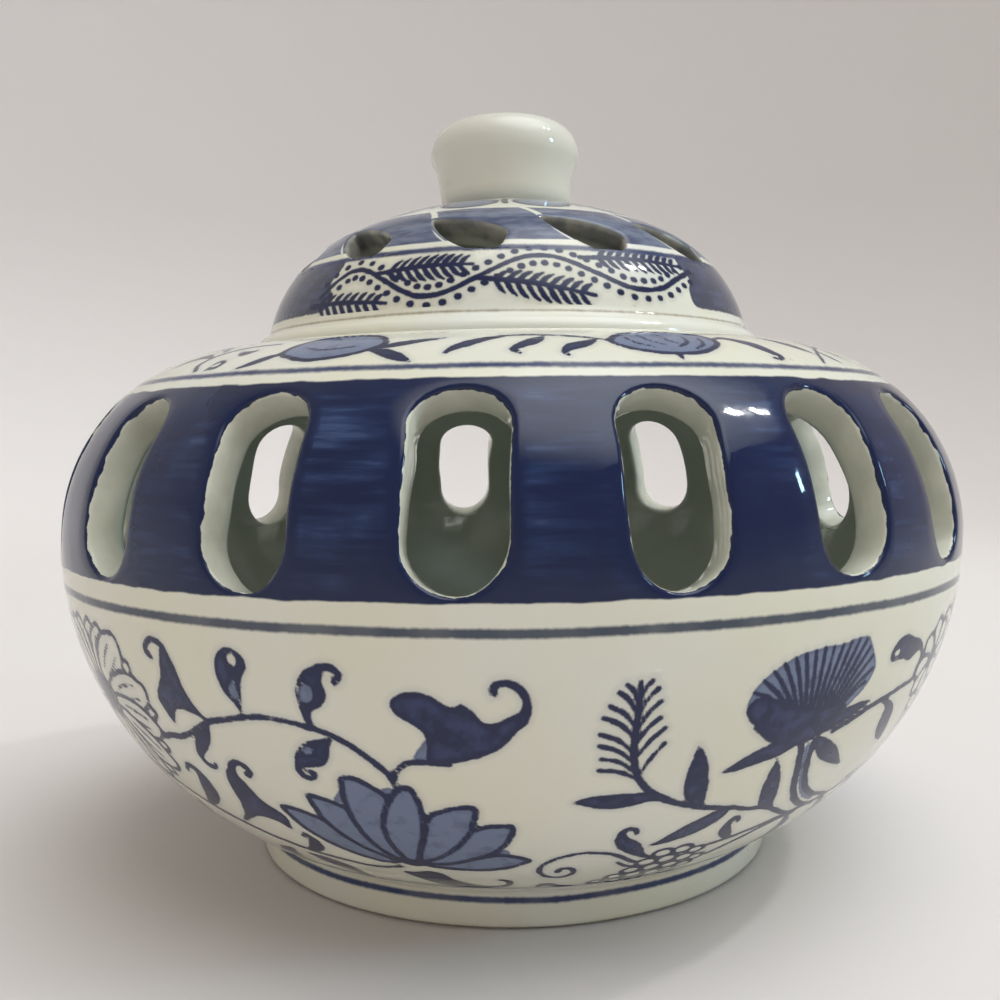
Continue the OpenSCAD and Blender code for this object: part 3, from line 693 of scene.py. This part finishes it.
cut = np.hypot(aside, np.clip(np.abs(s - SLOT_MID) - straight, 0, None)) - end_r
cut = np.where(depth > SKIN, np.minimum(cut, 0.8) - depth, np.minimum(cut, 6.0))
cut[(corners(pot)[:, 2] < BARE_FOOT_Z * MM) & (r < BARE_FOOT_R)] = -1.0
keep(pot, ink=ink, tint=tint, cut=cut)

BAND = (43.9, 65.5)
pot_glaze, tree, base, speck = glaze("pot_glaze", 1.0)
where = in_mm(tree)
cut = kept(tree, "cut")
ground = blotched(tree, where, 0.05, CREAM, PALE_CREAM)
painting = {"Ground": ground, "Ink": kept(tree, "ink"), "Tint": kept(tree, "tint"), **brushes}
colour = use(tree, brushwork, painting)["Colour"]
colour = ringed(tree, colour, ((41.1, 0.5, LINE_GREY), (66.8, 0.30, LINE_BLUE), (3.8, 0.42, LINE_BLUE),
                               (0.2, 0.16, FOOT_EDGE)))
streak = mottle(tree, in_mm(tree, (0.16, 0.16, 1.5)), 0.6, 5.0)
patch = mottle(tree, in_mm(tree, (1, 1, 0.6)), 0.085, 3.0)
rise = calc(tree, "ADD", height_of(tree), uneven(tree, in_mm(tree, (1, 1, 0.2)), 0.22, 0.7, 3.0))
edge = off_band(tree, rise, *BAND)
ragged = calc(tree, "ADD", cut, uneven(tree, where, 0.5, 1.1, 3.0))
worn = calc(tree, "MULTIPLY", fade(tree, streak, 0.40, 0.66), fade(tree, patch, 0.36, 0.62))
worn = calc(tree, "MULTIPLY", worn, fade(tree, ragged, 0.9, 2.2))
worn = calc(tree, "MULTIPLY", worn, fade(tree, edge, -0.4, -1.8))
thinnest = calc(tree, "MULTIPLY", fade(tree, worn, 0.55, 1.0), fade(tree, streak, 0.55, 0.75, 0.0, 0.7))
cobalt = over(tree, thinnest, over(tree, worn, COBALT, THIN_COBALT), WORN_COBALT)
colour = over(tree, fade(tree, edge, 0.14, -0.12), colour, cobalt)
bare = blotched(tree, where, 0.2, CLAY, PALE_CLAY)
bare = over(tree, fade(tree, cut, -3.2, -4.2), bare, SHADED_CLAY)
cut_edge = calc(tree, "ADD", cut, uneven(tree, where, 0.6, 1.2, 4.0))
colour = over(tree, fade(tree, cut_edge, -0.30, -0.18), bare, colour)
tree.links.new(specked(tree, colour, speck, 0.5), base)
pot.data.materials.append(pot_glaze)
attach(pot, "pot")
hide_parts("pot")


# Lid: one slip-cast porcelain dome with a rolled rim, and twelve leaf-shaped vents cut through its
# side in a swirl. It lies loose in the gallery, and lifts off by its knob.
LID_Z = 69.9
CROWN_ARC, SIDE_ARC, LID_WALL = 56.0, 20.0, 4.0
SIDE_C, CROWN_CZ = (15.8, LID_Z + 0.55), LID_Z - 31.8
LID_JOIN = math.asin(SIDE_C[0] / (CROWN_ARC - SIDE_ARC))
LID_CROWN, SEAT_Z = CROWN_ARC * LID_JOIN, LID_Z + 23.37
VENTS, VENT_TURN = 12, -9.8
VENT_MID = -SIDE_ARC * (math.radians(40.5) - LID_JOIN)
VENT_FIELD = (-9.4, 0.6)
LID_DEGREE = 0.6
DOT_STEP, DOT_GAP, DOT_R = 1.75, 1.2, 0.44


def lid_wall(s, depth=0.0):
    """Radius and height at a distance s up the lid from where its side turns into the crown."""
    s = np.asarray(s, float)
    crown = LID_JOIN - s / CROWN_ARC
    side = LID_JOIN - s / SIDE_ARC
    crown_r, side_r = CROWN_ARC - depth, SIDE_ARC - depth
    r = np.where(s >= 0, crown_r * np.sin(crown), SIDE_C[0] + side_r * np.sin(side))
    z = np.where(s >= 0, CROWN_CZ + crown_r * np.cos(crown), SIDE_C[1] + side_r * np.cos(side))
    return r, z


def leaf_outline():
    """Outline of a vent: a point, a long upper and a fuller lower side, and a blunt round end."""
    length, end, chord, low_r, top_r, slope = 11.4, 3.2, 15.0, 10.6, 15.8, math.radians(30)
    low_c = (chord / 2, math.sqrt(low_r ** 2 - chord ** 2 / 4))
    top_c = (chord / 2, -math.sqrt(top_r ** 2 - chord ** 2 / 4))
    end_c = (length - end, (low_c[1] - low_r + top_c[1] + top_r) / 2)
    out, back = np.linspace(0.0, 1.0, 30) ** 1.5, np.linspace(1.0, 0.0, 30)[1:-1] ** 1.5
    u = np.concatenate([out * length, back * length])
    lower = np.arange(len(u)) < len(out)
    blunt = u > end_c[0]
    rounded = np.sqrt(np.clip(end ** 2 - np.clip(u - end_c[0], 0, end) ** 2, 0, None))
    low = low_c[1] - np.sqrt(low_r ** 2 - (u - low_c[0]) ** 2)
    top = top_c[1] + np.sqrt(top_r ** 2 - (u - top_c[0]) ** 2)
    low = np.maximum(low, np.where(blunt, end_c[1] - rounded, -9))
    top = np.minimum(top, np.where(blunt, end_c[1] + rounded, 9))
    u, v = u - length / 2, np.where(lower, low, top)
    points = np.column_stack([u * math.cos(slope) + v * math.sin(slope),
                              VENT_MID - u * math.sin(slope) + v * math.cos(slope)])
    return np.roll(points, -int(np.argmin(np.abs(points[:, 0]) + 4 * (points[:, 1] > VENT_MID))), 0)


def lid_place(co):
    """Degrees round, distance up the wall, radius and depth in the wall of places on the lid."""
    r, z = np.hypot(co[:, 0], co[:, 1]) / MM, co[:, 2] / MM
    crown, side = np.arctan2(r, z - CROWN_CZ), np.arctan2(r - SIDE_C[0], z - SIDE_C[1])
    on_crown = crown < LID_JOIN
    s = np.where(on_crown, (LID_JOIN - crown) * CROWN_ARC, (LID_JOIN - side) * SIDE_ARC)
    depth = np.where(on_crown, CROWN_ARC - np.hypot(r, z - CROWN_CZ),
                     SIDE_ARC - np.hypot(r - SIDE_C[0], z - SIDE_C[1]))
    return np.degrees(np.arctan2(co[:, 0], -co[:, 1])), s, r, depth


def down(*points):
    """Points of the lid's painting, with the distance measured down from the middle of the crown."""
    return [(p[0], LID_CROWN - p[1], *p[2:]) for p in points]


def fern(base, tip, barbs, reach, half):
    """A sprig with slanted barbs on both sides, longest in the middle."""
    to_mm = np.array([LID_DEGREE, 1.0])
    base, tip = np.array(base, float) * to_mm, np.array(tip, float) * to_mm
    along = (tip - base) / np.hypot(*(tip - base))
    aside = np.array([-along[1], along[0]])
    middle = (base + tip) / 2 + 0.3 * aside
    sprig = [line((*base / to_mm, half), (*middle / to_mm, half), (*tip / to_mm, half * 0.7))]
    for i in range(barbs):
        root = base + (tip - base) * (0.16 + 0.8 * i / barbs)
        size = reach * (0.62 + 0.5 * math.sin(math.pi * (0.2 + 0.75 * i / barbs)))
        for side in (1, -1):
            end = root + size * (along * 0.72 + side * aside * 0.8)
            bend = root + 0.5 * (end - root) + 0.12 * size * side * aside
            sprig.append(line((*root / to_mm, half * 0.9), (*bend / to_mm, half),
                              (*end / to_mm, half * 0.45)))
    return sprig


stem = down((-44, 40.4, .36), (-39, 37.9, .36), (-35, 37, .38), (-31, 37.5, .36), (-25.5, 39.4, .36),
            (-20, 41.2, .36), (-16, 41.6, .38), (-11.5, 41, .36), (-4.5, 38.8, .36), (2, 36.8, .36),
            (7, 36.2, .38), (12, 36.7, .36), (18.5, 38.5, .36), (25, 40.3, .36), (30, 40.7, .38),
            (35, 40.2, .36), (40, 38.7, .36), (46, 37.2, .36))
lid_marks = [line(*stem)]
path = drawn(stem)[:, :2] * (LID_DEGREE, 1)
steps = np.concatenate([[0], np.cumsum(np.hypot(*np.diff(path, axis=0).T))])
for side in (1, -1):
    for at in np.arange(1.4, steps[-1] - 1, DOT_STEP):
        a, b = (np.array([np.interp(at + d, steps, path[:, i]) for i in (0, 1)]) for d in (-0.2, 0.2))
        square = np.array([a[1] - b[1], b[0] - a[0]]) / np.hypot(*(b - a))
        dot = ((a + b) / 2 + side * DOT_GAP * square) / (LID_DEGREE, 1)
        lid_marks.append(line((*dot, DOT_R), (dot[0] + 0.2, dot[1], DOT_R)))
for base, tip, barbs, reach in (((-29, 38.0), (-7, 37.4), 9, 2.1), ((-6, 39.4), (18, 41.8), 9, 2.1),
                                ((16, 36.4), (43, 36.7), 10, 1.8), ((-47, 41.6), (-25, 42.2), 8, 1.7)):
    lid_marks += fern(*down(base, tip), barbs, reach, .36)
lid_marks.append(form("tint", *down((-41.5, 34.8), (-40.4, 36.4), (-42, 38.4), (-40.6, 40.4), (-42, 42.4),
                      (-51, 42.6), (-59, 42.6), (-67, 42.6), (-76, 42.4), (-77.2, 40.4), (-75.6, 38.4),
                      (-77, 36.4), (-76, 34.8), (-67, 34.6), (-59, 34.6), (-51, 34.6))))
for i in range(4):
    az = -45 + 30 * i
    lid_marks.append(form("petal", *down((az, 22.4), (az + 7, 21.6), (az + 11, 19.4), (az + 9, 16.6),
                          (az, 15.4), (az - 9, 16.6), (az - 11, 19.4), (az - 7, 21.6))))
    lid_marks.append(line(*down((az + 15, 15.5, .3), (az + 14.4, 18, .5), (az + 15, 20.6, .35))))
swirl = ((-15, 23.6, .3), (-12.6, 25.2, .3), (-10.6, 27.2, .32), (-9, 29.4, .34), (-6.8, 31.6, .3),
         (-4.4, 33.2, .2))
lid_reserve = [line(*down(*((VENT_TURN - 30 + 30 * i + turn, w, half) for turn, w, half in swirl)))
               for i in range(4)]


bm = bmesh.new()
pierced(bm, VENTS, VENT_TURN, VENT_FIELD, 12, 10, leaf_outline(), lid_wall, LID_WALL, VENT_MID, 0.0,
        SIDE_ARC, 0.06)
seam = VENT_TURN - 180 / VENTS
rolled_rim = bow((36.2, LID_Z + 4.75), 0.7, 195, 250, 2) + bow((35.35, LID_Z + 2.05), 2.05, 66, -90, 12)
rolled_rim += bow((32.5, LID_Z + 0.8), 0.8, -90, -180, 4)
turned(bm, run(lid_wall, VENT_FIELD[0], -17.6, 7) + rolled_rim
       + run(lid_wall, -19.8, VENT_FIELD[0], 7, LID_WALL), seam, VENTS * 12)
turned(bm, run(lid_wall, VENT_FIELD[1], 15.8, 9) + [(5, SEAT_Z), (0, SEAT_Z)], seam, VENTS * 12)
turned(bm, run(lid_wall, VENT_FIELD[1], LID_CROWN, 9, LID_WALL), seam, VENTS * 12)
lid_paint = lid_marks + lid_reserve
finer(bm, lid_place, lid_wall, [(lid_paint, 1.0, 0.47), (lid_paint, 0.5, 0.4), (lid_marks, 0.28, 0.36)])
lid = fired("glazed_lid", bm)
az, s, r, depth = lid_place(corners(lid))
ink, tint = brushed(lid_marks, az, s, r)
off = (np.abs(depth) > SKIN) | (s < -17.7)
ink[off], tint[off] = 4.0, 4.0
reserve = np.where(off, 4.0, brushed(lid_reserve, az, s, r)[0])
keep(lid, ink=ink, tint=tint, reserve=reserve, cut=np.where(depth > SKIN, -depth, 1.0))

LID_WHITE, RIM_BROWN = (0.75, 0.75, 0.69, 1), (0.30, 0.25, 0.17, 1)
VENT_BLUE, PALE_VENT_BLUE = (0.055, 0.068, 0.135, 1), (0.15, 0.175, 0.25, 1)
# Dark greys for the cut walls of the vents: painted shade, for the shadow inside the vents.
VENT_SHADE, PALE_VENT_SHADE = (0.15, 0.155, 0.15, 1), (0.30, 0.29, 0.24, 1)
lid_glaze, tree, base, speck = glaze("lid_glaze", 0.8)
where, height, cut = in_mm(tree), height_of(tree), kept(tree, "cut")
rise = calc(tree, "ADD", height, uneven(tree, in_mm(tree, (1, 1, 0.2)), 0.12, 0.5, 3.0))
edge = off_band(tree, rise, *(float(lid_wall(LID_CROWN - w)[1]) for w in (33.4, 23.8)))
streak = mottle(tree, in_mm(tree, (0.3, 0.3, 1.4)), 0.7, 4.0)
vent_blue = over(tree, fade(tree, streak, 0.34, 0.62), VENT_BLUE, PALE_VENT_BLUE)
unreserved = fade(tree, kept(tree, "reserve"), -0.05, 0.25)
painted = calc(tree, "MULTIPLY", fade(tree, edge, 0.12, -0.12), unreserved)
ground = over(tree, painted, blotched(tree, where, 0.06, CREAM, LID_WHITE), vent_blue)
panel = over(tree, fade(tree, streak, 0.38, 0.66), INK, THIN_INK)
on_crown = fade(tree, height, LID_Z + 19, LID_Z + 20)
painting = {"Ground": ground, "Ink": kept(tree, "ink"), "Tint": kept(tree, "tint"), **brushes,
            "Tint Colour": over(tree, on_crown, panel, TINT),
            "Deep Tint": over(tree, on_crown, INK, DEEP_TINT)}
colour = use(tree, brushwork, painting)["Colour"]
colour = ringed(tree, colour, [(float(lid_wall(LID_CROWN - w)[1]), half, paint)
                               for w, half, paint in ((34.8, 0.38, THIN_INK), (43.8, 0.12, RIM_BROWN))])
# The outer half of each vent's cut wall is painted a mottled dark grey, as painted shade for the shadowed
# vents. The inner half and the inside of the lid keep the clay colour.
vent_shade = over(tree, fade(tree, mottle(tree, where, 0.35, 3.0), 0.35, 0.65), VENT_SHADE, PALE_VENT_SHADE)
bare = over(tree, fade(tree, cut, -3.6, -2.0), CLAY, vent_shade)
colour = over(tree, fade(tree, cut, -0.3, 0.2), bare, colour)
tree.links.new(specked(tree, colour, speck, 0.4), base)
lid.data.materials.append(lid_glaze)
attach(lid, "lid")
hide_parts("lid")


# Knob: a bun of porcelain, formed apart and stuck to the flat on the crown with slip before firing.
# It is painted a darker grey round its foot, and its top carries a low button.
KNOB_Z = SEAT_Z

bm = bmesh.new()
waist = [(9.66, KNOB_Z + 1.2), (9.8, KNOB_Z + 2.6), (10.05, KNOB_Z + 4.4), (10.4, KNOB_Z + 6.0)]
button = [(5.6, KNOB_Z + 12.84), (4.7, KNOB_Z + 12.95)] + bow((0, KNOB_Z + 5.0), 9.0, 62.5, 90, 6)
turned(bm, [(0, KNOB_Z), (6, KNOB_Z)] + bow((9.2, KNOB_Z + 0.4), 0.4, -90, -20, 2) + waist
       + bow((6.5, KNOB_Z + 8.2), 4.6, -14, 84, 14) + button, 0, 96)
knob = fired("glazed_knob", bm)
KNOB_WHITE, KNOB_FOOT_GREY = (0.70, 0.685, 0.60, 1), (0.50, 0.505, 0.465, 1)
DOT_INK_R, DOT_TINT_R = 3.2, 3.7
knob_glaze, tree, base, speck = glaze("knob_glaze", 0.6)
height = height_of(tree)
# The knob's colour turns a darker grey over the lowest few millimetres, where it meets the crown.
ground = over(tree, fade(tree, height, KNOB_Z + 2.6, KNOB_Z + 0.2), KNOB_WHITE, KNOB_FOOT_GREY)
out = put(tree, "VectorMath", {0: in_mm(tree, (1, 1, 0))}, operation="LENGTH").outputs["Value"]
out = calc(tree, "ADD", out, fade(tree, height, KNOB_Z + 13, KNOB_Z + 12, 0.0, 9.0))
dot = {"Ink": calc(tree, "SUBTRACT", out, DOT_INK_R), "Tint": calc(tree, "SUBTRACT", out, DOT_TINT_R)}
colour = use(tree, brushwork, {"Ground": ground, **dot, **brushes})["Colour"]
tree.links.new(specked(tree, colour, speck, 0.4), base)
knob.data.materials.append(knob_glaze)
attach(knob, "lid")
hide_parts("lid_knob")


# Floor: a plain pale sheet that curves up all round, far outside the vase, so that no edge of it
# shows behind.
bm = bmesh.new()
turned(bm, [(0, 0), (120, 0), (300, 0), (520, 0)] + bow((520, 260), 260, -80, 0, 9) + [(780, 700)], 0, 64)
floor = fired("pale_sweep", bm, inwards=True)
paper = bpy.data.materials.new("pale_paper")
paper.use_nodes = True
surface = paper.node_tree.nodes["Principled BSDF"].inputs
surface["Base Color"].default_value = (0.72, 0.68, 0.66, 1)
surface["Roughness"].default_value = 0.9
floor.data.materials.append(paper)


# Light: a soft pale room that is brightest overhead, warm on the left and cool on the right, and small
# far windows that glint in the glaze.
def lamp(name, place, width, height, power, colour):
    """A lamp with a flat face, turned towards the middle of the vase."""
    data = bpy.data.lights.new(name, "AREA")
    data.shape, data.size, data.size_y = "RECTANGLE", width, height
    data.energy, data.color = power, colour
    obj = bpy.data.objects.new(name, data)
    bpy.context.collection.objects.link(obj)
    obj.location = place
    obj.rotation_euler = (Vector((0, 0, 0.06)) - Vector(place)).to_track_quat("-Z", "Y").to_euler()


lamp("window", (0.669, -0.157, 0.324), 0.05, 0.10, 0.7, (0.45, 0.80, 1.0))
lamp("skylight", (0.544, -0.030, 0.733), 0.02, 0.04, 0.6, (1.0, 1.0, 1.0))
lamp("far_skylight", (0.573, 0.033, 0.706), 0.02, 0.04, 0.5, (1.0, 1.0, 1.0))
world = bpy.data.worlds.new("pale_room")
world.use_nodes = True
tree = world.node_tree
look = put(tree, "TexCoord").outputs["Generated"]
towards, aside = (put(tree, "VectorMath", {0: look, 1: way}, operation="DOT_PRODUCT").outputs["Value"]
                  for way in ((0.30, -0.15, 0.94), (0.92, -0.20, 0.34)))
sky = tree.nodes["Background"].inputs
WARM_SIDE, COOL_SIDE = (1.0, 0.90, 0.72, 1), (0.93, 0.97, 1.0, 1)
tree.links.new(over(tree, fade(tree, aside, -0.7, 0.8), WARM_SIDE, COOL_SIDE), sky["Color"])
tree.links.new(fade(tree, towards, 0.80, 1.0, 0.45, 3.8), sky["Strength"])
bpy.context.scene.world = world


# Camera: close in front, a little above the shoulder, as the photograph was taken.
camera = bpy.data.objects.new("camera", bpy.data.cameras.new("camera"))
bpy.context.collection.objects.link(camera)
camera.data.sensor_width, camera.data.lens = 36.0, 37.48
camera.data.clip_start = 0.01
turns = [Matrix.Rotation(math.radians(a), 4, axis) for a, axis in ((0.51, "Z"), (86.505, "X"), (-0.76, "Z"))]
camera.matrix_world = Matrix.Translation((0.0, -0.1602, 0.0595)) @ turns[0] @ turns[1] @ turns[2]
bpy.context.scene.camera = camera
bpy.context.scene.view_settings.view_transform = "Standard"
